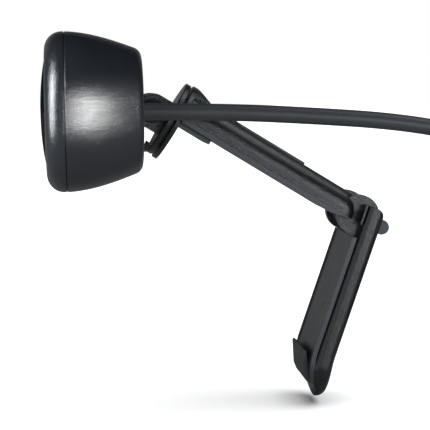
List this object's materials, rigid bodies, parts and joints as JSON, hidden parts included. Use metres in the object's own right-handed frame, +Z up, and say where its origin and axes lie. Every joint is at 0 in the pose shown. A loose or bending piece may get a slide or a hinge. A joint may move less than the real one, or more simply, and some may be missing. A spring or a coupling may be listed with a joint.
{
  "type": "webcam",
  "caption": "Clip-on webcam: stadium-shaped head, tilting and turning arm with a rest pad, folding leg with hooked foot, lead with plug",
  "frame": {"origin": "middle of the underside of the rubber pad under the arm, where the arm rests on a screen's top edge", "axes": "the lens looks along -X, the arm and the lead leave towards +X, +Z is up, +Y is to the right of someone who looks along +X"},
  "size_m": [0.1691, 0.075, 0.0804],
  "materials": {
    "shell_plastic": "satin, fine spark-eroded grain",
    "plate_plastic": "satin, slightly lighter grey",
    "inner_plastic": "matte",
    "fascia": "polished, smoked",
    "lens_trim": "fine satin",
    "lens_glass": "coated",
    "sensor": "smooth",
    "board": "solder mask",
    "microphone": "drawn can",
    "status_light": "frosted light pipe",
    "screw_steel": "dark zinc",
    "pin_steel": "blackened",
    "washer": "natural acetal",
    "rubber": "matte",
    "cord_jacket": "matte jacket",
    "tie": "woven hook-and-loop tape",
    "plug_metal": "nickel plated"
  },
  "bodies": {
    "camera_head": {"front_bezel": "shell_plastic", "lens_fascia": "fascia", "chassis": "inner_plastic", "lens_ring": "lens_trim", "lens_glass": "lens_glass", "lens_barrel": "lens_trim", "lens_element": "lens_glass", "lens_holder": "inner_plastic", "image_sensor": "sensor", "circuit_board": "board", "video_chip": "sensor", "board_posts": "inner_plastic", "board_screws": "screw_steel", "microphone": "microphone", "status_light": "status_light", "back_shell": "shell_plastic", "housing_screws": "screw_steel", "tilt_bracket": "shell_plastic", "bracket_screws": "screw_steel", "cord_gland": "cord_jacket", "usb_cord": "cord_jacket", "cord_coil": "cord_jacket", "cord_tie": "tie", "cord_tail": "cord_jacket", "plug_grip": "cord_jacket", "plug_shell": "plug_metal", "plug_tongue": "inner_plastic"},
    "neck": {"neck_fork": "shell_plastic", "tilt_pin": "pin_steel", "friction_washer": "washer", "swivel_nut": "screw_steel", "swivel_screw": "screw_steel"},
    "arm": {"arm_shell": "shell_plastic", "arm_plate": "plate_plastic", "arm_screws": "screw_steel", "arm_strip": "plate_plastic", "rest_pad": "rubber"},
    "leg": {"leg_shell": "shell_plastic", "leg_liner": "plate_plastic", "foot_lip": "rubber", "bumper_bar": "rubber", "fold_pin": "pin_steel"}
  },
  "joints": [
    {"name": "tilt", "type": "hinge", "parent": "camera_head", "child": "neck", "pos_m": [-0.00828, 0, 0.00515], "axis": [0, -1, 0], "range_deg": [-4, 50]},
    {"name": "swivel", "type": "hinge", "parent": "neck", "child": "arm", "pos_m": [-0.00386, 0, 0.00288], "axis": [0.849, 0, -0.5284], "range_deg": [-10, 90]},
    {"name": "fold", "type": "hinge", "parent": "arm", "child": "leg", "pos_m": [0.03533, 0, -0.01781], "axis": [0, -1, 0], "range_deg": [-60, 12]}
  ]
}
